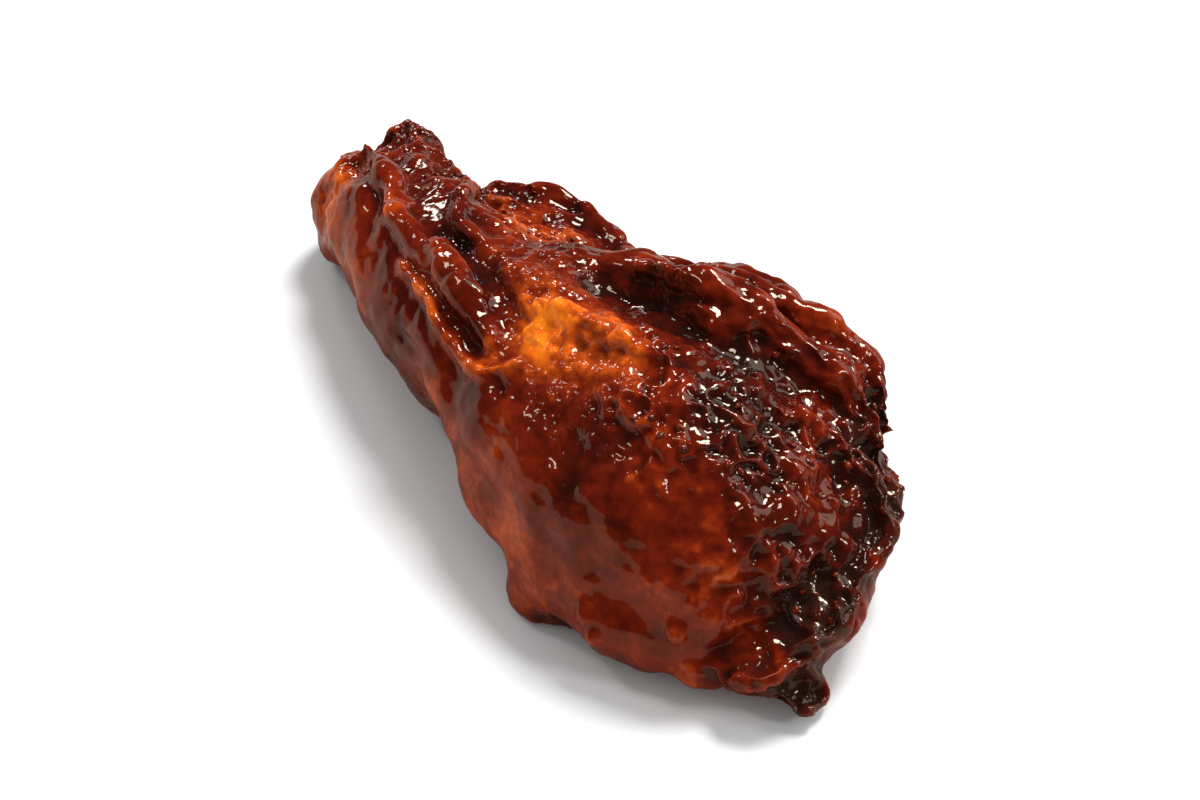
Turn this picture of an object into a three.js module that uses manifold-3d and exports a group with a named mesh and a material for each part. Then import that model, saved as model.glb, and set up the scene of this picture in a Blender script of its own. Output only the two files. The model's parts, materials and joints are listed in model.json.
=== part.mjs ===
// One glazed chicken wing, the drumette: the joint between the shoulder and the elbow, fried in its skin.
// It lies on its side, as it would on a board. Millimetres, +Z up. X runs along the bone, from the small
// knuckle at -X to the thick meaty end at +X, and Y runs across. The origin is the middle of its foot.
//
// The wing is one piece, so it is one solid. Its form is a set of soft masses (meat, bone ends, rolls of
// skin) that melt into one field. The vertices of a capsule start on a line inside that field and travel
// outwards until they meet its surface. A box then trims the underside to the flat where the wing rests.

import * as THREE from "three";
import { ImprovedNoise } from "three/addons/math/ImprovedNoise.js";
import { mergeVertices } from "three/addons/utils/BufferGeometryUtils.js";
import Module from "manifold-3d";

// Driving dimensions.
const LENGTH = 90; // knuckle to the thick end
const WIDTH = 41; // across the meat
const HEIGHT = 28; // of the meat above the board
const REST_TRIM = 2.3; // how much of the underside is pressed flat

// Fineness of the faceted skin.
const AROUND = 62;
const ALONG = 40;
const CAP_STEPS = 12;
const CROWDED_SHARE = 0.6; // how far round each end, from its side to its tip, the relaxing starts
const END_TURNS = 2;

// Surface lumps: how far apart they are, and how far they stand out.
const LUMP_PITCH = 9;
const LUMP_RISE = 0.75;
const PUCKER_PITCH = 4.6;
const PUCKER_RISE = 0.38;

const HALF_LENGTH = LENGTH / 2;
const HALF_WIDTH = WIDTH / 2;

// A place on the wing: shares of half the length, half the width and the height.
const at = (along, across, up) =>
  new THREE.Vector3(along * HALF_LENGTH, across * HALF_WIDTH, up * HEIGHT);

// An egg-shaped mass. Half sizes are in mm, turns are in degrees about Z and then about its own Y, and
// blend is how widely it melts into its neighbours.
function mass(centre, halfSizes, { yaw = 0, pitch = 0, blend = 4 } = {}) {
  const turn = new THREE.Quaternion().setFromEuler(
    new THREE.Euler(0, THREE.MathUtils.degToRad(pitch), THREE.MathUtils.degToRad(yaw), "ZYX"),
  );
  return { centre, size: new THREE.Vector3(...halfSizes), back: turn.invert(), blend };
}

// A roll of skin or a bone shaft: beads of changing radius along a smooth curve.
function roll(points, startRadius, endRadius, blend) {
  const curve = new THREE.CatmullRomCurve3(points);
  const beads = Math.ceil(curve.getLength() / Math.min(startRadius, endRadius)) * 2;
  return Array.from({ length: beads + 1 }, (_, i) => {
    const radius = THREE.MathUtils.lerp(startRadius, endRadius, i / beads);
    return mass(curve.getPoint(i / beads), [radius, radius, radius], { blend });
  });
}

// Meat round the bone.
const breastMeat = mass(at(0.34, -0.06, 0.48), [27, 17.4, 13], { yaw: 3, pitch: 2, blend: 5 });
const outerMeat = mass(at(0.44, 0.4, 0.44), [18.5, 11.5, 10.8], { yaw: -6, blend: 4 });
const lowerMeat = mass(at(0.62, -0.22, 0.2), [15.5, 11.5, 6.6], { yaw: 8, blend: 4.5 });
const backMeat = mass(at(-0.12, 0.28, 0.34), [15, 9.6, 7.6], { yaw: 20, blend: 4 });
const foreMeat = mass(at(-0.16, -0.33, 0.42), [24, 10.8, 9.8], { yaw: 3, pitch: -5, blend: 5 });
const elbowBump = mass(at(-0.02, -0.2, 0.73), [9.5, 5.6, 5.4], { yaw: -14, blend: 3 });
const shoulderBump = mass(at(0.48, -0.04, 0.81), [10.5, 8.4, 6.2], { yaw: 10, blend: 3.5 });

// The bone shaft and the two rounded ends of its elbow joint.
const neck = roll([at(-0.84, -0.29, 0.31), at(-0.5, -0.35, 0.39), at(-0.15, -0.28, 0.45)], 6, 9.2, 4);
const upperKnuckle = mass(at(-0.87, -0.03, 0.47), [4.2, 3.7, 4.1], { yaw: 20, blend: 1.8 });
const lowerKnuckle = mass(at(-0.88, -0.45, 0.24), [5.2, 4.3, 6.9], { yaw: -15, blend: 1.8 });
const tendon = roll([at(-0.8, -0.16, 0.52), at(-0.52, -0.22, 0.66), at(-0.3, -0.3, 0.72)], 2.2, 2.6, 1.6);

// Skin: the web beside the neck, the long roll along the back with a second one inside it, the folded
// lip and torn tail of the thick end, the flap on the near side and the corner that hangs to the board.
const skinWeb = mass(at(-0.41, 0.15, 0.41), [12.5, 8.2, 5.6], { yaw: 26, pitch: -4, blend: 2.6 });
const backRoll = roll(
  [at(-0.08, 0.42, 0.5), at(0.12, 0.7, 0.67), at(0.38, 0.82, 0.66), at(0.64, 0.76, 0.48)],
  3.6,
  4.8,
  1.6,
);
const innerRoll = roll([at(-0.16, 0.08, 0.66), at(0.08, 0.32, 0.84), at(0.38, 0.42, 0.86)], 2.6, 3.2, 2);
const charLobe = mass(at(0.7, 0.6, 0.36), [8.6, 7.4, 8.2], { yaw: 20, blend: 2 });
const endMeat = mass(at(0.8, 0.26, 0.28), [9.4, 9.2, 7.2], { yaw: 20, blend: 3 });
const endLip = roll([at(0.9, -0.4, 0.16), at(0.97, -0.1, 0.24), at(0.88, 0.26, 0.34)], 2.9, 3.6, 1.3);
const tornTail = mass(at(0.99, -0.04, 0.12), [4, 4.6, 3.4], { yaw: -30, blend: 1.5 });
const nearFlap = roll([at(-0.4, -0.54, 0.54), at(-0.2, -0.66, 0.56), at(-0.02, -0.6, 0.62)], 2.1, 2.5, 0.9);
const hangingCorner = mass(at(0.47, -0.83, 0.11), [5.6, 4, 3.6], { yaw: 24, blend: 2.4 });
const sideRoll = roll([at(0.08, -0.68, 0.3), at(0.4, -0.76, 0.28), at(0.74, -0.54, 0.2)], 3.0, 3.6, 3);

const MEAT = [breastMeat, outerMeat, lowerMeat, backMeat, foreMeat, elbowBump, shoulderBump];
const BONE = [...neck, upperKnuckle, lowerKnuckle, ...tendon];
const THICK_END = [charLobe, endMeat, ...endLip, tornTail];
const FOLDS = [...nearFlap, hangingCorner, ...sideRoll];
const MASSES = [...MEAT, ...BONE, skinWeb, ...backRoll, ...innerRoll, ...THICK_END, ...FOLDS];

// Roughly how far a point is outside a mass, in mm. Inside it is negative.
function outside(point, { centre, size, back }) {
  const local = point.clone().sub(centre).applyQuaternion(back).divide(size);
  const reach = local.length();
  const slope = local.divide(size).length();
  return slope > 0 ? (reach * (reach - 1)) / slope : -Math.min(size.x, size.y, size.z);
}

// The masses as one soft field: the nearest surface, rounded where two of them meet.
function field(point) {
  let distance = outside(point, MASSES[0]);
  for (const one of MASSES.slice(1)) {
    const next = outside(point, one);
    const overlap = Math.max(one.blend - Math.abs(distance - next), 0) / one.blend;
    distance = Math.min(distance, next) - (overlap * overlap * one.blend) / 4;
  }
  return distance;
}

// Lumps and puckers of fried skin, along the outward direction.
const noise = new ImprovedNoise();
const ripple = (point, pitch) => noise.noise(point.x / pitch, point.y / pitch, point.z / pitch);
const relief = (point) =>
  LUMP_RISE * 2 * ripple(point, LUMP_PITCH) + PUCKER_RISE * 2 * ripple(point, PUCKER_PITCH);

// Walks outwards from the core line until the field is crossed.
const WALK_STEPS = 80;
const WALK_SHARE = 0.8;
function meetSkin(start, direction) {
  const point = start.clone();
  for (let i = 0; i < WALK_STEPS; i++) {
    point.addScaledVector(direction, -field(point) * WALK_SHARE);
  }
  return point.addScaledVector(direction, relief(point));
}

// The line inside the wing that the skin is pushed out from.
const core = new THREE.CatmullRomCurve3([
  at(-0.83, -0.27, 0.36),
  at(-0.45, -0.3, 0.42),
  at(0.1, -0.1, 0.45),
  at(0.76, -0.02, 0.3),
]);

// Moves some of the vertices to the middle of their neighbours, a few times over.
function relax(geometry, chosen, turns) {
  const places = geometry.getAttribute("position");
  const corners = geometry.index.array;
  for (let turn = 0; turn < turns; turn++) {
    const middles = new Map(chosen.map((i) => [i, { sum: new THREE.Vector3(), count: 0 }]));
    for (let i = 0; i < corners.length; i++) {
      const next = i % 3 === 2 ? i - 2 : i + 1;
      const middle = middles.get(corners[i]);
      if (!middle) continue;
      middle.sum.add(new THREE.Vector3().fromBufferAttribute(places, corners[next]));
      middle.count += 1;
    }
    for (const [i, { sum, count }] of middles) {
      sum.divideScalar(count);
      places.setXYZ(i, sum.x, sum.y, sum.z);
    }
  }
}

// A capsule stands along Y, so its own axis becomes X here. Its vertices crowd together at the two ends,
// and are evened out there.
function skin() {
  const coreLength = core.getLength();
  const capsule = new THREE.CapsuleGeometry(1, coreLength, CAP_STEPS, AROUND, ALONG);
  capsule.deleteAttribute("normal");
  capsule.deleteAttribute("uv");
  const geometry = mergeVertices(capsule);
  const places = geometry.getAttribute("position");
  const vertex = new THREE.Vector3();
  const crowded = [];
  for (let i = 0; i < places.count; i++) {
    vertex.fromBufferAttribute(places, i);
    const along = THREE.MathUtils.clamp(vertex.y, -coreLength / 2, coreLength / 2);
    if (Math.abs(vertex.y - along) > CROWDED_SHARE) crowded.push(i);
    const start = core.getPoint(along / coreLength + 0.5);
    const direction = new THREE.Vector3(vertex.y - along, -vertex.x, vertex.z).normalize();
    const placed = meetSkin(start, direction);
    places.setXYZ(i, placed.x, placed.y, placed.z);
  }
  relax(geometry, crowded, END_TURNS);
  return geometry;
}

// Trims everything below the board, and sets the origin at the middle of the foot.
async function rested(geometry) {
  const wasm = await Module();
  wasm.setup();
  const solid = (g) =>
    new wasm.Manifold(
      new wasm.Mesh({
        numProp: 3,
        vertProperties: g.getAttribute("position").array,
        triVerts: new Uint32Array(g.index.array),
      }),
    );
  const board = new THREE.BoxGeometry(LENGTH * 2, WIDTH * 2, HEIGHT);
  board.deleteAttribute("normal");
  board.deleteAttribute("uv");
  geometry.computeBoundingBox();
  const { min, max } = geometry.boundingBox;
  const boardTop = min.z + REST_TRIM;
  board.translate(0, 0, boardTop - HEIGHT / 2);
  const mesh = solid(geometry).subtract(solid(mergeVertices(board))).getMesh();
  return new THREE.BufferGeometry()
    .setAttribute("position", new THREE.BufferAttribute(mesh.vertProperties, 3))
    .setIndex(new THREE.BufferAttribute(mesh.triVerts, 1))
    .translate(-(min.x + max.x) / 2, -(min.y + max.y) / 2, -boardTop);
}

const glazedSkin = new THREE.MeshStandardMaterial({ color: 0x5a1c0c, roughness: 0.3, metalness: 0 });
const wing = new THREE.Mesh(await rested(skin()), glazedSkin);
wing.name = "wing";

const serving = new THREE.Group();
serving.add(wing);

export default serving;
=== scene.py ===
# %% [markdown]
# # A glazed chicken wing
# One drumette, fried in its skin and turned in a sticky dark glaze. It lies on its side with the narrow
# knuckle at -X and the thick meaty end at +X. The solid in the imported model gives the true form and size.
# Everything here is the finish that a cook would see: skin that folds, blisters and chars, and glaze that
# runs thick over some places and thin over others.

# %% Load the fixed frame
import json
import math

import bpy
import numpy as np
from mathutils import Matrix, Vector, noise

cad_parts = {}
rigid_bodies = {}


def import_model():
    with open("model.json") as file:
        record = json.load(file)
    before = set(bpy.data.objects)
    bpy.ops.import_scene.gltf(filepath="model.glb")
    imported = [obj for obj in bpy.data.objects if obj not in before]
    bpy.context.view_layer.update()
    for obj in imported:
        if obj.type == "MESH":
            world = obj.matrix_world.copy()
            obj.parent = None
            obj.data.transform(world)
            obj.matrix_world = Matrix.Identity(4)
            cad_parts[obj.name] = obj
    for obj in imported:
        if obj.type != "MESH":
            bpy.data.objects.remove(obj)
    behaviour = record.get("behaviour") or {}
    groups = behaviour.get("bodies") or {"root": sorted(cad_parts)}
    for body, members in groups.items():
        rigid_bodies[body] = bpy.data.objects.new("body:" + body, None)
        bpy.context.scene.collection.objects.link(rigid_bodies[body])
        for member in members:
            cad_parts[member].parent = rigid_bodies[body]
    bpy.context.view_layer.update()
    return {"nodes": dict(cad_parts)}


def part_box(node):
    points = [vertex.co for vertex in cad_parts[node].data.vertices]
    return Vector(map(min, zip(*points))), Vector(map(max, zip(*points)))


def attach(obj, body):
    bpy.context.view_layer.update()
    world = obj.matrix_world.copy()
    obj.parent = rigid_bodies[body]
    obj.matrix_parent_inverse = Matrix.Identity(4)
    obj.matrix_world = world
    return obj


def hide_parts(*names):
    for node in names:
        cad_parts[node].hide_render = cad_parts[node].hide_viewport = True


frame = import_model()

low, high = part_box("wing")
print("solid wing, metres:", [round(side, 4) for side in high - low])

# %% [markdown]
# ## Places and sizes
# Every place on the wing is a share of its box: from -1 at the knuckle to 1 at the thick end, from -1 at
# the near side to 1 at the far side, and from 0 on the board to 1 at the top. A place that is given this
# way stays on the wing if the solid ever changes size.

# %% Places on the wing
MM = 0.001
MIDDLE = (low + high) / 2
SIZE = high - low
print("middle of the wing, metres:", [round(side, 4) for side in MIDDLE])


def spot(along, across, up):
    """A place on the wing, in metres."""
    return Vector((MIDDLE.x + along * SIZE.x / 2, MIDDLE.y + across * SIZE.y / 2, low.z + up * SIZE.z))


# %% [markdown]
# ## Working by hand
# An operator acts on whatever is selected, so each step first selects one piece alone. A modifier is
# added, set and applied at once, which leaves plain mesh behind.

# %% Selecting and modifying
def only(piece):
    """Leaves one piece selected and active."""
    if bpy.context.object and bpy.context.object.mode != "OBJECT":
        bpy.ops.object.mode_set(mode="OBJECT")
    bpy.ops.object.select_all(action="DESELECT")
    piece.select_set(True)
    bpy.context.view_layer.objects.active = piece


def modify(piece, kind, **settings):
    """Adds one modifier, sets it and applies it."""
    only(piece)
    modifier = piece.modifiers.new(kind, kind)
    for name, value in settings.items():
        setattr(modifier, name, value)
    bpy.ops.object.modifier_apply(modifier=modifier.name)


def smooth(piece, turns, group=""):
    """Evens the skin out, a few times over, everywhere or as far as a vertex group lets it."""
    modify(piece, "SMOOTH", factor=0.5, iterations=turns, vertex_group=group)


def points_of(piece):
    """The vertices' places and their outward directions."""
    mesh = piece.data
    places = np.empty(len(mesh.vertices) * 3, np.float32)
    mesh.vertices.foreach_get("co", places)
    outward = np.empty(len(mesh.vertices) * 3, np.float32)
    mesh.vertex_normals.foreach_get("vector", outward)
    return places.reshape(-1, 3), outward.reshape(-1, 3)


# %% [markdown]
# ## The meat
# The solid is made of flat facets, a couple of millimetres wide. Fried meat has none, so a copy of it is
# merged, remeshed into small even faces and smoothed until the facets are gone and only the form is left.

# %% A smooth copy of the solid
MERGE_WITHIN = 0.001 * MM
BODY_VOXEL = 0.6 * MM
BODY_TURNS = 26
body = bpy.data.objects.new("wing_skin", frame["nodes"]["wing"].data.copy())
bpy.context.collection.objects.link(body)
only(body)
bpy.ops.object.mode_set(mode="EDIT")
bpy.ops.mesh.select_all(action="SELECT")
bpy.ops.mesh.remove_doubles(threshold=MERGE_WITHIN)
bpy.ops.object.mode_set(mode="OBJECT")
modify(body, "REMESH", mode="VOXEL", voxel_size=BODY_VOXEL)
smooth(body, BODY_TURNS)
print("meat:", len(body.data.vertices), "vertices")

# %% [markdown]
# ## Cords and folds of skin
# Skin that shrinks in hot oil pulls into cords and rolls. Each one here is a row of round beads that
# follows a few places on the meat, a third of their thickness sunk in it. The beads are joined to the meat
# and remeshed with it, so that they melt into one skin, as dough rolls do when a thumb smooths them.

# %% One roll of skin
BEAD_STEP = 0.3  # between two beads, as a share of the roll's thickness
THIN_END = 0.62  # how thick the ends are, as a share of the middle
SUNK = 0.35  # how much of a bead lies in the meat


def on_meat(place, lift):
    """The nearest place on the meat, lifted outwards by a distance."""
    _, nearest, outward, _ = body.closest_point_on_mesh(place)
    return nearest + outward * lift


def curve_through(stops, count):
    """Places along a smooth curve through the stops."""
    ends = [stops[0] * 2 - stops[1], *stops, stops[-1] * 2 - stops[-2]]
    places = []
    for i in range(count):
        share = i / (count - 1) * (len(stops) - 1)
        leg = min(int(share), len(stops) - 2)
        t = share - leg
        a, b, c, d = ends[leg:leg + 4]
        places.append(0.5 * (2 * b + (c - a) * t + (2 * a - 5 * b + 4 * c - d) * t * t
                             + (3 * b - a - 3 * c + d) * t * t * t))
    return places


def round_bead(place, radius, sunk):
    """One bead, with a share of its thickness sunk in the meat."""
    bpy.ops.mesh.primitive_ico_sphere_add(
        subdivisions=2, radius=radius, location=on_meat(place, radius * (1 - 2 * sunk)))
    return bpy.context.object


def roll_of_skin(stops, thickness):
    """Beads along a curve, thickest in the middle of it."""
    route = [spot(*stop) for stop in stops]
    length = sum((b - a).length for a, b in zip(route, route[1:]))
    count = int(length / (thickness * BEAD_STEP)) + 2
    beads = []
    for i, place in enumerate(curve_through(route, count)):
        swell = THIN_END + (1 - THIN_END) * math.sin(math.pi * i / (count - 1))
        beads.append(round_bead(place, thickness / 2 * swell, SUNK))
    return beads


# %% [markdown]
# The neck has a tendon and a second cord beside it. The near side has a loose flap with a rim. A ridge
# runs from the thin golden place up to the top, and two thick wrinkles follow the back. The web hangs
# beside the neck, and the thick end has a folded lip and a torn tail. Three drops of glaze set on the
# near side before they could run off.

# %% Where the rolls and drops lie
# Each has its stops and its thickness in mm.
ROLLS = {
    "tendon": ([(-0.88, -0.3, 0.5), (-0.68, -0.42, 0.62), (-0.5, -0.52, 0.68), (-0.33, -0.58, 0.72)], 3.6),
    "neck_cord": ([(-0.85, -0.1, 0.5), (-0.62, -0.18, 0.6), (-0.42, -0.3, 0.68), (-0.3, -0.34, 0.74)], 2.6),
    "flap_rim": ([(-0.4, -0.66, 0.66), (-0.22, -0.7, 0.7), (-0.06, -0.74, 0.68), (0.04, -0.72, 0.7),
                  (0.1, -0.6, 0.8)], 2.3),
    "flap_fold": ([(-0.35, -0.5, 0.75), (-0.18, -0.56, 0.77), (-0.02, -0.6, 0.77)], 4.8),
    "golden_ridge": ([(0.0, -0.36, 0.9), (0.18, -0.22, 0.93), (0.36, -0.08, 0.98)], 3.4),
    "back_crest": ([(0.04, 0.2, 0.9), (0.2, 0.36, 0.95), (0.36, 0.58, 0.84), (0.5, 0.76, 0.72),
                    (0.64, 0.78, 0.58)], 4.8),
    "back_wrinkle": ([(-0.04, 0.4, 0.74), (0.18, 0.62, 0.78), (0.36, 0.82, 0.68), (0.54, 0.88, 0.5)], 3.8),
    "web_edge": ([(-0.62, 0.12, 0.45), (-0.46, 0.34, 0.46), (-0.26, 0.44, 0.54), (-0.1, 0.38, 0.68)], 3.0),
    "end_lip": ([(0.9, -0.4, 0.17), (0.94, -0.26, 0.22), (0.96, -0.1, 0.29), (0.95, 0.08, 0.34),
                 (0.88, 0.36, 0.4)], 4.2),
    "char_fold": ([(0.56, 0.5, 0.8), (0.7, 0.62, 0.62), (0.82, 0.6, 0.46), (0.88, 0.4, 0.4)], 3.6),
    "tail": ([(0.94, -0.26, 0.16), (1.0, -0.14, 0.1), (0.97, 0.02, 0.08)], 3.2),
}
DROPS = [((0.62, -0.9, 0.3), 2.8), ((0.66, -0.92, 0.22), 2.2), ((0.8, -0.58, 0.34), 2.6)]
DROP_SUNK = 0.575
print("rolls:", len(ROLLS), "drops:", len(DROPS))

# %% Join them to the meat
FINE_VOXEL = 0.363 * MM
FINE_TURNS = 7
beads = []
for stops, thickness in ROLLS.values():
    beads += roll_of_skin(stops, thickness * MM)
for stop, thickness in DROPS:
    beads.append(round_bead(spot(*stop), thickness / 2 * MM, DROP_SUNK))
only(body)
for bead in beads:
    bead.select_set(True)
bpy.ops.object.join()
modify(body, "REMESH", mode="VOXEL", voxel_size=FINE_VOXEL)
smooth(body, FINE_TURNS)
print("beads:", len(beads), "vertices:", len(body.data.vertices))

# %% [markdown]
# ## Where the skin differs
# A cook sees several kinds of skin on one wing: sleek under thick glaze, burnt, drawn into wrinkles,
# blistered and crusty, golden where the glaze ran off, pebbly where the feathers sat, and dark where the
# glaze collected in pools, which along two grooves is also painted shade. Each kind is a weight for every
# vertex, worked out from how near the vertex is to a few places. The weight is kept twice, as a vertex
# group for the modifiers and as an attribute for the finish.

# %% Weights from places
PATCH_EDGE = 1.35  # above 1 a patch has a flat middle
MOTTLE_CONTRAST = 1.1


def ease(values):
    """Holds values between 0 and 1 with soft ends."""
    held = np.clip(values, 0, 1)
    return held * held * (3 - 2 * held)


def patch(points, centre, reach):
    """1 in the middle of an egg-shaped patch, 0 at its reach in mm along X, Y and Z."""
    away = (points - np.array(spot(*centre))) / (np.array(reach) * MM)
    return ease(PATCH_EDGE * (1 - np.linalg.norm(away, axis=1)))


def stripe(points, stops, width):
    """1 along a line over the meat, 0 at its half width in mm."""
    route = [np.array(spot(*stop)) for stop in stops]
    nearest = np.full(len(points), 1e9)
    for a, b in zip(route, route[1:]):
        leg = b - a
        share = np.clip((points - a) @ leg / (leg @ leg), 0, 1)
        nearest = np.minimum(nearest, np.linalg.norm(points - a - share[:, None] * leg, axis=1))
    return ease(1 - nearest / (width * MM))


def most(*weights):
    """The strongest of several weights at each vertex."""
    return np.maximum.reduce(weights)


def mottle(points, size, seed):
    """Soft random patches from 0 to 1, with a size in mm."""
    shift = Vector((seed, seed, seed))
    bumps = np.array([noise.noise(Vector(place) / (size * MM) + shift) for place in points])
    return ease(0.5 + MOTTLE_CONTRAST * bumps)


# %% Keeping weights on the mesh
def keep_group(piece, name, values):
    """Stores a weight as a vertex group, for the modifiers."""
    group = piece.vertex_groups.new(name=name)
    for index, value in enumerate(values):
        group.add([index], float(value), "REPLACE")


def keep_attribute(piece, name, values):
    """Stores one number for each vertex, for the finish to read."""
    attribute = piece.data.attributes.new(name, "FLOAT", "POINT")
    attribute.data.foreach_set("value", values.astype(np.float32))


# %% The kinds of skin: sleek, burnt, wrinkled and crusty
points, _ = points_of(body)
print("vertices to weigh:", len(points))
sleek = most(
    patch(points, (0.36, -0.98, 0.36), (32, 9.5, 14)),
    patch(points, (0.68, -0.85, 0.3), (20, 12, 12)),
    patch(points, (-0.55, -0.85, 0.45), (17, 8, 9)),
    patch(points, (-0.1, -0.95, 0.45), (16, 7, 11)),
    stripe(points, ROLLS["tendon"][0], 2.6),
    stripe(points, ROLLS["flap_fold"][0], 2.0),
)
char = most(
    patch(points, (0.72, 0.8, 0.5), (17, 11, 14)),
    patch(points, (0.92, 0.05, 0.42), (8, 10, 7)),
    patch(points, (0.99, -0.1, 0.14), (6, 9, 5)),
    patch(points, (0.42, 0.42, 0.92), (11, 6, 6)) * 0.35,
    patch(points, (0.1, 0.3, 0.9), (7, 4, 6)) * 0.5,
    stripe(points, ROLLS["end_lip"][0], 4.2) * 0.8,
    patch(points, (0.36, 0.6, 0.85), (19, 8, 8)) * 0.15,
    patch(points, (0.5, -0.86, 0.06), (5, 4, 3)) * 0.8,
    patch(points, (-0.95, -0.1, 0.5), (7, 6, 6)) * 0.7,
    patch(points, (0.6, 0.12, 0.9), (12, 8, 8)) * 0.5,
)
wrinkled = most(
    stripe(points, ROLLS["back_crest"][0], 9),
    stripe(points, ROLLS["back_wrinkle"][0], 9),
    patch(points, (-0.5, 0.1, 0.55), (20, 11, 12)),
    patch(points, (-0.2, 0.05, 0.75), (12, 8, 8)),
    patch(points, (0.1, -0.4, 0.88), (11, 7, 7)) * 0.5,
)
crusty = most(
    patch(points, (0.5, -0.14, 1.0), (17, 13, 12)),
    patch(points, (0.66, 0.2, 0.82), (15, 13, 12)),
    patch(points, (0.86, -0.12, 0.55), (9, 12, 9)),
    patch(points, (-0.9, -0.24, 0.52), (12, 9, 8)),
    patch(points, (-0.66, -0.14, 0.56), (10, 6, 7)) * 0.8,
    patch(points, (-0.4, 0.05, 0.64), (18, 9, 9)) * 0.8,
    patch(points, (-0.04, 0.9, 0.4), (44, 16, 16)) * 0.8,
) * (1 - 0.85 * sleek)

# %% The kinds of skin: golden, pebbly and pooled
golden = most(
    patch(points, (0.10, -0.41, 0.88), (11, 7.5, 8)),
    patch(points, (0.05, -0.3, 0.88), (18, 11, 10)) * 0.4,
    patch(points, (0.2, -0.2, 0.94), (14, 6, 6)) * 0.8,
    stripe(points, ROLLS["flap_rim"][0], 2.4) * 0.65,
    patch(points, (0.03, -0.68, 0.76), (4, 3, 3)) * 0.8,
    patch(points, (-0.86, -0.6, 0.4), (9, 5, 8)) * 0.5,
    patch(points, (-0.36, 0.04, 0.66), (16, 8, 7)) * 0.45,
    patch(points, (0.8, -0.3, 0.6), (4.5, 4, 4)) * 0.25,
    patch(points, (0.87, -0.05, 0.5), (4, 4, 4)) * 0.25,
    patch(points, (0.1, -0.95, 0.3), (30, 6, 8)) * 0.2,
    patch(points, (0.35, -0.1, 0.0), (30, 14, 5)) * 0.35,
)
pebbly = most(
    stripe(points, [(-0.85, -0.1, 0.54), (-0.5, 0.0, 0.62), (-0.2, -0.1, 0.8), (0.1, -0.3, 0.9)], 11),
    golden,
    patch(points, (0.25, -0.5, 0.85), (16, 8, 8)) * 0.8,
)
# Glaze collects here and darkens the colour. The two stripes follow grooves, and there the darkening is
# painted shade as well.
pooled = most(
    patch(points, (0.42, -0.66, 0.74), (14, 6, 7)) * 0.25,
    patch(points, (0.36, 0.62, 0.85), (22, 9, 9)) * 0.4,
    stripe(points, [(-0.02, 0.06, 0.84), (0.2, 0.16, 0.93), (0.42, 0.34, 0.95)], 5) * 0.9,
    stripe(points, [(-0.6, -0.36, 0.62), (-0.3, -0.46, 0.76), (-0.06, -0.52, 0.8)], 4) * 0.6,
    patch(points, (0.64, 0.1, 0.86), (12, 12, 10)) * 0.8,
)

print("golden at its strongest:", round(float(golden.max()), 2))

# %% Keep every kind
KINDS = {"sleek": sleek, "char": char, "wrinkled": wrinkled, "crusty": crusty, "golden": golden,
         "pebbly": pebbly, "pooled": pooled}
for kind, weight in KINDS.items():
    keep_group(body, kind, weight)
    keep_attribute(body, kind + "_amount", weight)
    print(kind, "covers", round(float(weight.mean()) * 100), "% of the skin")

# %% [markdown]
# ## Grooves between the folds
# A roll only looks like a roll beside a groove. Each groove is a narrow stripe of weight, and a Displace
# modifier with no texture pushes that stripe inwards along the normals.

# %% Grooves
# Each has its stops, its half width and its depth in mm.
GROOVES = [
    ([(-0.34, -0.4, 0.77), (-0.16, -0.42, 0.83), (0.0, -0.49, 0.85)], 2.0, 1.1),
    ([(-0.02, 0.02, 0.84), (0.16, 0.1, 0.93), (0.32, 0.2, 0.97), (0.46, 0.44, 0.9)], 2.6, 1.8),
    ([(0.06, 0.34, 0.86), (0.26, 0.56, 0.84), (0.46, 0.82, 0.66), (0.6, 0.88, 0.5)], 2.0, 1.3),
    ([(-0.84, -0.18, 0.52), (-0.6, -0.28, 0.62), (-0.38, -0.42, 0.72)], 1.7, 0.9),
    ([(-0.72, -0.02, 0.48), (-0.52, 0.0, 0.58), (-0.3, 0.02, 0.7)], 2.4, 1.0),
    ([(-1.0, -0.24, 0.36), (-0.95, -0.26, 0.5), (-0.88, -0.24, 0.56)], 2.2, 1.0),
    ([(0.82, -0.46, 0.22), (0.89, -0.26, 0.34), (0.92, -0.04, 0.42), (0.87, 0.22, 0.48)], 1.9, 1.2),
    ([(-0.3, -0.86, 0.5), (-0.1, -0.9, 0.56), (0.06, -0.84, 0.66)], 1.8, 0.7),
]
trench = np.zeros(len(points))
for stops, width, depth in GROOVES:
    trench = np.maximum(trench, stripe(points, stops, width) * depth)
deepest = max(depth for _, _, depth in GROOVES)
keep_group(body, "groove", trench / deepest)
modify(body, "DISPLACE", vertex_group="groove", strength=-deepest * MM, mid_level=0.0)
smooth(body, 2)
print("grooves:", len(GROOVES))

# %% [markdown]
# ## Lumps, wrinkles, blisters and crust
# A Displace modifier lifts the skin by a procedural texture, only where a vertex group lets it. An empty
# can carry the texture's axes: stretched along the bone, it draws round noise out into wrinkles. Large
# soft forms come first and the finest last, as in modelling with clay.

# %% One layer of relief
def relief(piece, title, kind, size, height, group, level=0.5, stretch=(1, 1, 1), turn=0.0, **settings):
    """Lifts the skin by a texture with features of one size, all in mm."""
    texture = bpy.data.textures.new(title, kind)
    texture.noise_scale = size * MM
    for name, value in settings.items():
        setattr(texture, name, value)
    bpy.ops.object.empty_add(location=MIDDLE, rotation=(0, 0, math.radians(turn)))
    carrier = bpy.context.object
    carrier.scale = stretch
    bpy.context.view_layer.update()
    modify(piece, "DISPLACE", texture=texture, texture_coords="OBJECT", texture_coords_object=carrier,
           strength=height * MM, mid_level=level, vertex_group=group)
    bpy.data.objects.remove(carrier)


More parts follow.
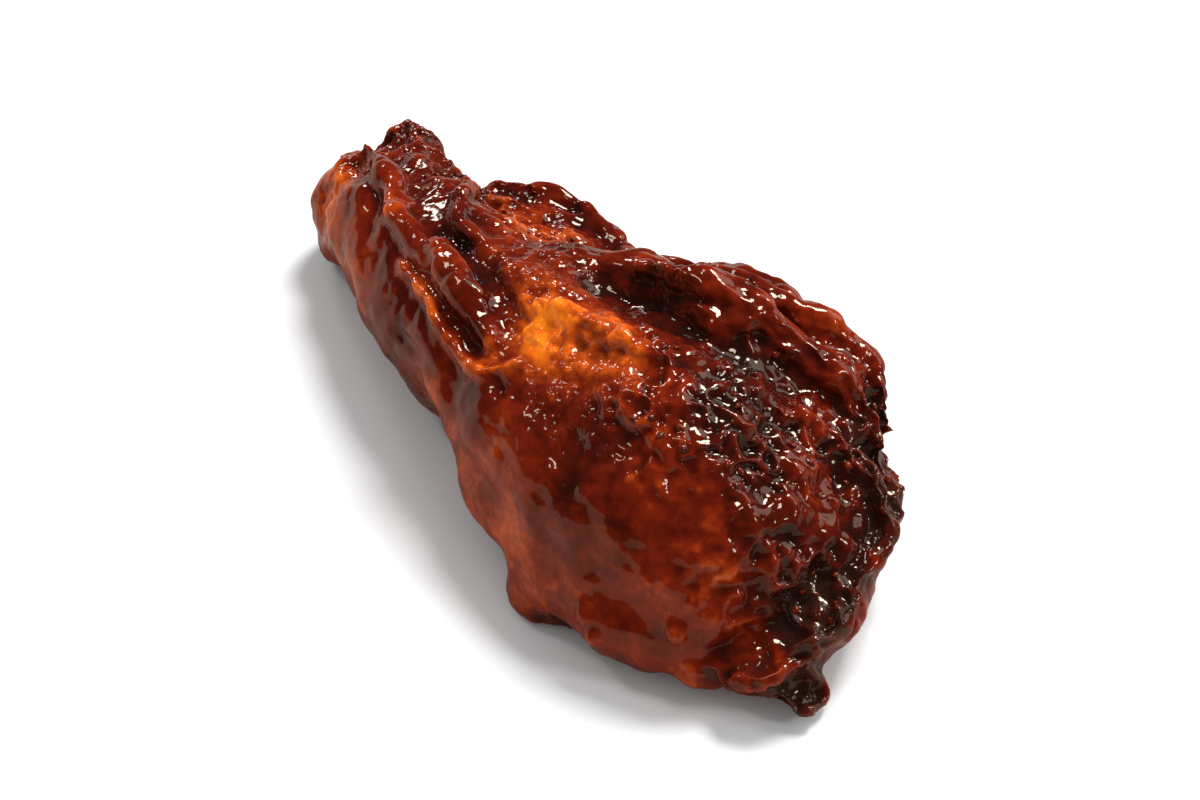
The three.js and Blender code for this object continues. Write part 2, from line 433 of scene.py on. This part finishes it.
# %% Where each layer may act
# Sleek glaze hides most of the relief, and crags and crumbs fade out towards the board.
PLAIN_ROUGH = 0.42  # how rough the skin is where it is of no special kind
FADE_HEIGHT = 2 * MM
rough = np.clip(PLAIN_ROUGH + crusty + char + 0.5 * golden, 0, 1) * (1 - 0.9 * sleek)
clusters = mottle(points, 5.5, 3)
above_board = ease((points[:, 2] - low.z) / FADE_HEIGHT - 0.4)
LAYERS = {
    "open": 1 - 0.75 * sleek,
    "blistered": most(rough * clusters, golden * 0.45),
    "craggy": rough * (0.35 + 0.65 * mottle(points, 4, 11)),
    "burnt": np.clip(char + 0.45 * crusty, 0, 1) * (0.2 + 0.8 * above_board),
}
for layer, weight in LAYERS.items():
    keep_group(body, layer, weight)
    print(layer, "covers", round(float(weight.mean()) * 100), "% of the skin")
keep_attribute(body, "crumbed_amount", np.clip(crusty + char, 0, 1) * clusters * (1 - golden) * above_board)

# %% Layers from large to fine
relief(body, "lumps", "CLOUDS", 6.5, 1.7, "open", noise_depth=1)
relief(body, "dents", "CLOUDS", 3.4, 1.0, "open", noise_depth=1, noise_basis="ORIGINAL_PERLIN")
relief(body, "drawn_skin", "CLOUDS", 1.7, 1.5, "wrinkled", stretch=(4.2, 1, 1), turn=24, noise_depth=1)
relief(body, "crags", "DISTORTED_NOISE", 3.0, 1.5, "burnt", noise_distortion="IMPROVED_PERLIN",
       noise_basis="VORONOI_F1", distortion=1.2)
relief(body, "puckers", "CLOUDS", 3.6, 1.25, "craggy", noise_depth=2, noise_type="HARD_NOISE")
relief(body, "blisters", "VORONOI", 2.1, -0.6, "blistered", level=0.45)
relief(body, "crust", "CLOUDS", 1.2, 0.7, "blistered", noise_depth=1)
relief(body, "pebbles", "VORONOI", 1.5, -0.45, "pebbly", level=0.45)
relief(body, "glaze_waves", "CLOUDS", 4.2, 0.8, "sleek", stretch=(1.6, 1, 1), turn=-20)
smooth(body, 2)
smooth(body, 3, "burnt")
print("skin:", len(body.data.vertices), "vertices")

# %% [markdown]
# ## The side that it lies on
# The wing's own weight presses it flat against the board. All vertices below the board are selected and
# brought up to it by scaling them to nothing in height, with the board as the centre.

# %% Press the underside flat
only(body)
bpy.ops.object.mode_set(mode="EDIT")
bpy.ops.mesh.select_mode(type="VERT")
bpy.ops.mesh.select_all(action="DESELECT")
bpy.ops.object.mode_set(mode="OBJECT")
for vertex in body.data.vertices:
    vertex.select = bool(vertex.co.z < low.z)
bpy.ops.object.mode_set(mode="EDIT")
bpy.ops.transform.resize(value=(1, 1, 0), center_override=(0, 0, low.z))
bpy.ops.object.mode_set(mode="OBJECT")
bpy.ops.object.shade_smooth()
print("pressed flat:", sum(vertex.select for vertex in body.data.vertices), "vertices")

# %% [markdown]
# ## Hollows and tips
# Glaze runs off the tips of the skin and pools in its hollows, and the finish also paints shade into the
# hollows and light onto the tips, so it has to know which is which.
# A copy is smoothed until its bumps are gone. How far each vertex stands out of that copy is kept as an
# attribute: above zero on a tip, below zero in a hollow.

# %% How far each vertex stands out
def standing_out(piece, turns, full):
    """How far the skin stands out of a smoothed copy, as a share of a full height in mm."""
    places, directions = points_of(piece)
    calm = bpy.data.objects.new("calm", piece.data.copy())
    bpy.context.collection.objects.link(calm)
    smooth(calm, turns)
    calm_places, _ = points_of(calm)
    bpy.data.objects.remove(calm)
    return np.clip(((places - calm_places) * directions).sum(axis=1) / (full * MM), -1, 1)


# %% [markdown]
# The sharpest tips would burn off in the oil, so they are smoothed away first. Then the standing out is
# kept twice: from a lightly smoothed copy for the fine bumps, and a far smoother one for the broad forms.

# %% Sharp tips away, the rest kept
# A tip starts to count as sharp at 0.29 of the full height, and counts in full from 0.71 of it.
sharp = ease(standing_out(body, turns=40, full=0.6) * 2.4 - 0.7) * above_board
keep_group(body, "sharp", sharp)
smooth(body, 10, "sharp")
keep_attribute(body, "tip_fine", standing_out(body, turns=10, full=0.25))
keep_attribute(body, "tip_broad", standing_out(body, turns=90, full=0.9))
print("sharp tips smoothed:", int((sharp > 0.5).sum()), "vertices")

# %% [markdown]
# ## Shader sums in Python
# A finish is a net of nodes. Wrapping a socket in a small class lets the sums be written as sums: each
# plus or times adds a Math node. Every other node comes from one method, which takes the node's type, its
# settings and what goes into its sockets.

# %% The wire class
class Wire:
    """A socket in a material's node tree, on which sums work."""

    def __init__(self, tree, socket=None):
        self.tree = tree
        self.socket = socket

    def node(self, kind, settings=None, sockets=None, output=0):
        """Adds a node, with its settings first and then its sockets, and returns one of its outputs."""
        made = self.tree.nodes.new(kind)
        for name, value in (settings or {}).items():
            if name == "stops":
                for stop in range(len(value) - 2):
                    made.color_ramp.elements.new(0.5)
                for element, (place, colour) in zip(made.color_ramp.elements, value):
                    element.position = place
                    element.color = (*colour, 1)
            else:
                setattr(made, name, value)
        for name, value in (sockets or {}).items():
            if isinstance(value, Wire):
                self.tree.links.new(value.socket, made.inputs[name])
            else:
                made.inputs[name].default_value = value
        return Wire(self.tree, made.outputs[output] if made.outputs else None)

    def sum(self, operation, first, second):
        return self.node("ShaderNodeMath", {"operation": operation}, {0: first, 1: second})

    def __add__(self, other):
        return self.sum("ADD", self, other)

    def __radd__(self, other):
        return self.sum("ADD", other, self)

    def __sub__(self, other):
        return self.sum("SUBTRACT", self, other)

    def __rsub__(self, other):
        return self.sum("SUBTRACT", other, self)

    def __mul__(self, other):
        return self.sum("MULTIPLY", self, other)

    def __rmul__(self, other):
        return self.sum("MULTIPLY", other, self)

    def between(self, start, end):
        """0 below the start and 1 above the end, with soft ends."""
        return self.node("ShaderNodeMapRange", {"interpolation_type": "SMOOTHSTEP"},
                         {"Value": self, "From Min": start, "From Max": end})

    def noise(self, size, detail=2.0, distortion=0.0):
        """Noise from 0 to 1 with features of a size in mm, read at this place."""
        return self.node("ShaderNodeTexNoise", None, {
            "Vector": self, "Scale": 1 / (size * MM), "Detail": detail, "Distortion": distortion})

    def cells(self, size):
        """Voronoi cells of a size in mm, read at this place: 0 in the middle of a cell."""
        return self.node("ShaderNodeTexVoronoi", None, {"Vector": self, "Scale": 1 / (size * MM)}, "Distance")

    def swing(self, reach):
        """This noise as a plus or a minus, with a reach from end to end."""
        return (self - 0.5) * reach

    def mix(self, amount, other):
        """This colour, with an amount of another one."""
        return self.node("ShaderNodeMix", {"data_type": "RGBA"}, {0: amount, 6: self, 7: other}, 2)

    def colour(self, stops):
        """A colour from a ramp."""
        return self.node("ShaderNodeValToRGB", {"stops": stops}, {"Fac": self})


# %% A new finish
def finish(name, constants):
    """A material with one Principled shader, whose fixed values are set on its own sockets.

    Returns it with the place that patterns read, a reader of attributes and a way to its sockets.
    """
    material = bpy.data.materials.new(name)
    material.use_nodes = True
    shader = material.node_tree.nodes["Principled BSDF"]
    for socket, value in constants.items():
        shader.inputs[socket].default_value = value
    wire = Wire(material.node_tree)
    place = wire.node("ShaderNodeTexCoord", None, None, "Object")

    def read(attribute):
        return wire.node("ShaderNodeAttribute", {"attribute_name": attribute}, None, "Fac")

    def connect(socket, value):
        material.node_tree.links.new(value.socket, shader.inputs[socket])

    return material, place, read, connect


# %% [markdown]
# ## Glaze over fried skin
# Dark sugar glaze is clear, so its colour is its depth. A thin coat over golden skin looks orange, more of
# it looks red-brown, and a pool of it looks nearly black. The finish works out one number, how deep the
# glaze is, from the kinds of skin, the hollows and some noise, and a ramp turns that depth into colour.
# Through the hollows and tips, that number also carries painted shade and painted light.

# %% The glazed skin
glazed, place, read, connect = finish("glazed_skin", {
    "IOR": 1.47,
    "Specular Tint": (1.0, 0.88, 0.70, 1.0),
    "Subsurface Weight": 0.12,
    "Subsurface Radius": (1.0, 0.25, 0.08),
    "Subsurface Scale": 1.6 * MM,
})
sleek_amount, char_amount, crusty_amount, golden_amount, pebbly_amount, pooled_and_shaded_amount = [
    read(kind + "_amount") for kind in ("sleek", "char", "crusty", "golden", "pebbly", "pooled")]
tip_fine = read("tip_fine")
tip_broad = read("tip_broad")
drift_noise = place.noise(3.2, 3, 0.6)
print("finish:", glazed.name)

# %% [markdown]
# The depth starts from an even coat and swings with noise of three sizes. Tips and golden places have
# less glaze on them, and hollows, burnt places and pools more. Lighter tips and darker hollows are partly
# painted light and painted shade, and the darkening along two grooves is partly painted shade too. The
# ramp has seven colours, from bare golden skin at 0 to the darkest pool at 1. The sleek sides, held at an
# angle, keep a thinner coat.

# %% How deep the glaze lies, with painted shade and light, and its colour
EVEN_COAT = 0.67
# Lighter on tips and darker in hollows: partly glaze running off and collecting, partly painted light on the
# tips and painted shade in the hollows.
depth = (EVEN_COAT
         + place.noise(11, 3).swing(0.80) + drift_noise.swing(0.55) + place.noise(0.8, 2).swing(0.22)
         - tip_broad * (0.22 - golden_amount * 0.16) - tip_fine * 0.14 * (1 - sleek_amount)
         - golden_amount * (0.56 - place.noise(1.3, 2).swing(0.5))
         + char_amount * 0.20 + pooled_and_shaded_amount * 0.17 - sleek_amount * 0.15)
GLAZE = [
    (0.00, (0.97, 0.23, 0.009)),
    (0.16, (0.76, 0.125, 0.007)),
    (0.32, (0.40, 0.052, 0.005)),
    (0.50, (0.185, 0.0145, 0.003)),
    (0.68, (0.095, 0.0065, 0.002)),
    (0.86, (0.040, 0.004, 0.002)),
    (1.00, (0.018, 0.004, 0.003)),
]
BURNT_SUGAR = (0.036, 0.012, 0.008, 1)
burn = (char_amount * 1.1 + drift_noise.swing(1.3) - tip_fine * 0.15).between(0.45, 1.05)
connect("Base Color", depth.colour(GLAZE).mix(burn * 0.6, BURNT_SUGAR))
print("ramp colours:", len(GLAZE))

# %% [markdown]
# Wet glaze is nearly a mirror, so what makes it sparkle is its grain. A bump adds the grain that is too
# fine for the mesh: strong on crusty, burnt and pebbly skin, and almost none where the glaze is sleek.

# %% Gloss and grain
GLOSS = 0.075
connect("Roughness", GLOSS + char_amount * 0.04 + pebbly_amount * 0.04 + drift_noise.swing(0.08))
gritty = (0.15 + crusty_amount * 0.22 + char_amount * 0.30 + pebbly_amount * 0.45) * (1 - sleek_amount * 0.92)
bump_height = (gritty * (place.noise(1.1, 1, 0.3) + 0.3 * place.noise(0.5, 0)) + 0.4 * place.noise(2.6, 1)
               - pebbly_amount * place.cells(0.8) * 0.9)
connect("Normal", place.node("ShaderNodeBump", None, {
    "Height": bump_height, "Strength": 0.5, "Distance": 0.34 * MM}))
print("nodes in the glaze:", len(glazed.node_tree.nodes))

# %% The skin is done
body.data.materials.clear()
body.data.materials.append(glazed)
print("materials on the skin:", len(body.data.materials))
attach(body, "root")
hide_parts("wing")

# %% [markdown]
# ## Bits of crust
# Flour and skin that came loose in the oil stick to the wing as hard flat bits, half a millimetre to a
# millimetre and a half across. They catch the light as separate glints. Three bits are shaped from coarse
# spheres, and Geometry Nodes scatters them where the skin is crusty or burnt, laid on the skin
# and then tipped, turned and sized at random. The result is applied, so that the bits are plain mesh.

# %% Three bits of crust
BIT_SIZE = 0.6 * MM
BIT_SHAPE = (1, 0.7, 0.32)
bit_box = bpy.data.collections.new("bit_box")
for seed in range(3):
    bpy.ops.mesh.primitive_uv_sphere_add(segments=7, ring_count=5, radius=BIT_SIZE, scale=BIT_SHAPE)
    bit = bpy.context.object
    bit.name = f"bit_{seed}"
    bpy.ops.object.transform_apply(location=False, rotation=False, scale=True)
    bpy.ops.object.mode_set(mode="EDIT")
    bpy.ops.mesh.select_all(action="SELECT")
    bpy.ops.transform.vertex_random(offset=0.35 * BIT_SIZE, seed=seed + 1)
    bpy.ops.object.mode_set(mode="OBJECT")
    bpy.ops.object.shade_smooth()
    bit_box.objects.link(bit)


# %% Scattering
TIP = 0.2  # how far a bit is tipped from lying flat, in radians


def scatter(name, box, weight, spacing, smallest, largest, seed, material):
    """Scatters the pieces of a box over the wing, most densely where a weight is high."""
    bpy.ops.mesh.primitive_plane_add(size=MM)
    piece = bpy.context.object
    piece.name = name
    tree = bpy.data.node_groups.new(name, "GeometryNodeTree")
    tree.interface.new_socket("Geometry", in_out="OUTPUT", socket_type="NodeSocketGeometry")
    wire = Wire(tree)
    skin = wire.node("GeometryNodeObjectInfo", None, {"Object": body}, "Geometry")
    amount = wire.node("GeometryNodeInputNamedAttribute", {"data_type": "FLOAT"}, {"Name": weight})
    dots = wire.node("GeometryNodeDistributePointsOnFaces", {"distribute_method": "POISSON"}, {
        "Mesh": skin, "Distance Min": spacing * MM, "Density Max": 1.6 / (spacing * MM) ** 2,
        "Density Factor": amount * amount, "Seed": seed})
    bits = wire.node("GeometryNodeCollectionInfo", None, {
        "Collection": box, "Separate Children": True, "Reset Children": True})
    upright = Wire(tree, dots.socket.node.outputs["Rotation"])
    spin = wire.node("FunctionNodeRandomValue", {"data_type": "FLOAT_VECTOR"}, {
        "Min": (-TIP, -TIP, 0), "Max": (TIP, TIP, math.tau), "Seed": seed + 1})
    turn = wire.node("FunctionNodeRotateRotation", {"rotation_space": "LOCAL"}, {
        "Rotation": upright, "Rotate By": spin})
    scale = wire.node("FunctionNodeRandomValue", {"data_type": "FLOAT"},
                      {2: smallest, 3: largest, "Seed": seed + 2}, 1)
    placed = wire.node("GeometryNodeInstanceOnPoints", None, {
        "Points": dots, "Instance": bits, "Pick Instance": True, "Rotation": turn, "Scale": scale})
    real = wire.node("GeometryNodeRealizeInstances", None, {"Geometry": placed})
    wire.node("NodeGroupOutput", None, {"Geometry": real})
    modify(piece, "NODES", node_group=tree)
    piece.data.materials.clear()
    piece.data.materials.append(material)
    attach(piece, "root")
    print(name, "faces:", len(piece.data.polygons))


# %% [markdown]
# The bits are as wet as the skin round them. Most are dark, and a few came from thin skin and stayed red,
# so noise picks their depth on the same ramp as the glaze.

# %% Finish of the bits
crust, bit_place, _, connect_bit = finish("wet_crust", {
    "IOR": 1.5,
    "Specular Tint": (1.0, 0.88, 0.7, 1.0),
    "Subsurface Weight": 0.05,
    "Subsurface Scale": 0.5 * MM,
})
bit_depth = 0.66 + bit_place.noise(1.3, 1).swing(0.9) + bit_place.noise(7, 1).swing(0.5)
connect_bit("Base Color", bit_depth.colour(GLAZE))
connect_bit("Roughness", 0.10 + bit_place.noise(0.6, 1) * 0.12)
connect_bit("Normal", bit_place.node("ShaderNodeBump", None, {
    "Height": bit_place.noise(0.35, 1), "Strength": 0.6, "Distance": 0.08 * MM}))
print("nodes in the crust:", len(crust.node_tree.nodes))

# %% Scatter them, and put the shaped bits away
scatter("crust_bits", bit_box, "crumbed_amount", material=crust,
        spacing=1.4, smallest=0.4, largest=1.2, seed=4)
for bit in list(bit_box.objects):
    bpy.data.objects.remove(bit)

# %% [markdown]
# ## The camera
# A long lens from well back keeps the wing's proportions true. It looks down on the side of the wing that
# shows best, along a line between the near side and the thick end.

# %% Camera
CAMERA_AZIMUTH = math.radians(60)
CAMERA_HEIGHT = math.radians(45)
LENS_MM = 120
SENSOR_MM = 36
FRAME_SHAPE = 800 / 1200
FILL = 0.74
CLIP_START = 0.01
AIM_UP = 0.22  # of the wing's height
SEEN_SHARE = 0.71  # how tall the wing looks from here, as a share of its length
aim = Vector((MIDDLE.x, MIDDLE.y, low.z + SIZE.z * AIM_UP))
backwards = Vector((math.sin(CAMERA_AZIMUTH) * math.cos(CAMERA_HEIGHT),
                    -math.cos(CAMERA_AZIMUTH) * math.cos(CAMERA_HEIGHT),
                    math.sin(CAMERA_HEIGHT)))
apparent_height = SIZE.x * SEEN_SHARE
distance = apparent_height / FILL * LENS_MM / (SENSOR_MM * FRAME_SHAPE)
bpy.ops.object.camera_add(location=aim + backwards * distance)
camera = bpy.context.object
camera.data.lens = LENS_MM
camera.data.sensor_width = SENSOR_MM
camera.rotation_euler = (-backwards).to_track_quat("-Z", "Y").to_euler()
camera.data.clip_start = CLIP_START
bpy.context.scene.camera = camera
print("camera stands", round(distance, 3), "m away")

# %% [markdown]
# ## The studio
# A white table runs out of sight on all sides. The key lamp stands high behind, for the glints on top and
# the soft shadow. The wide back lamp lays a milky sheen in the grooves of the back, the low rim lamp draws
# streaks along the cords of the neck, the right lamp catches the burnt end, and the fill lamp the near
# side. Suns light the whole table evenly, and their angle sets how soft they are. The room and the table
# are dim in reflections, because black screens round a set make glaze look deep.

# %% Table
TABLE_SIDE = 6
TABLE_IN_GLAZE = (0.34, 0.29, 0.25, 1)
bpy.ops.mesh.primitive_plane_add(size=TABLE_SIDE, location=(0, 0, low.z))
table = bpy.context.object
table.name = "table"
white, table_place, _, connect_table = finish("white_table", {"Roughness": 0.9, "Specular IOR Level": 0.2})
paper = table_place.noise(40, 2).colour([(0.0, (0.86, 0.86, 0.86)), (1.0, (0.9, 0.9, 0.9))])
in_reflections = table_place.node("ShaderNodeLightPath", None, None, "Is Glossy Ray")
connect_table("Base Color", paper.mix(in_reflections, TABLE_IN_GLAZE))
table.data.materials.append(white)
print("table side, metres:", TABLE_SIDE)

# %% Lamps
# Each has its azimuth and height in degrees, its strength, and its softness in degrees. Azimuth 0 is +X.
LAMPS = {
    "key_lamp": (115, 60, 3.0, 20),
    "back_lamp": (92, 36, 0.7, 40),
    "rim_lamp": (171, 22, 0.4, 10),
    "right_lamp": (40, 38, 0.6, 12),
    "fill_lamp": (215, 50, 0.3, 10),
}
for name, (azimuth, height, strength, softness) in LAMPS.items():
    towards = Vector((math.cos(math.radians(azimuth)) * math.cos(math.radians(height)),
                      math.sin(math.radians(azimuth)) * math.cos(math.radians(height)),
                      math.sin(math.radians(height))))
    bpy.ops.object.light_add(type="SUN", location=towards)
    light = bpy.context.object
    light.name = name
    light.rotation_euler = towards.to_track_quat("Z", "Y").to_euler()
    light.data.energy = strength
    light.data.angle = math.radians(softness)
print("lamps:", len(LAMPS))

# %% Room
ROOM_SEEN = 1.0
ROOM_IN_GLAZE = 0.03
ROOM_LIGHT = 0.46
room = bpy.data.worlds.new("room")
bpy.context.scene.world = room
room.use_nodes = True
room_wire = Wire(room.node_tree)
is_camera = room_wire.node("ShaderNodeLightPath", None, None, "Is Camera Ray")
is_glossy = room_wire.node("ShaderNodeLightPath", None, None, "Is Glossy Ray")
background = room.node_tree.nodes["Background"]
brightness = (is_camera * ROOM_SEEN
              + (1 - is_camera) * (is_glossy * ROOM_IN_GLAZE + (1 - is_glossy) * ROOM_LIGHT))
room.node_tree.links.new(brightness.socket, background.inputs["Strength"])
background.inputs["Color"].default_value = (1, 1, 1, 1)
print("room light:", ROOM_LIGHT)

# %% [markdown]
# ## True colours
# Deep glaze is a saturated colour, which a film-like view would wash out, so the plain view is set.

# %% View and sizes
bpy.context.scene.view_settings.view_transform = "Standard"
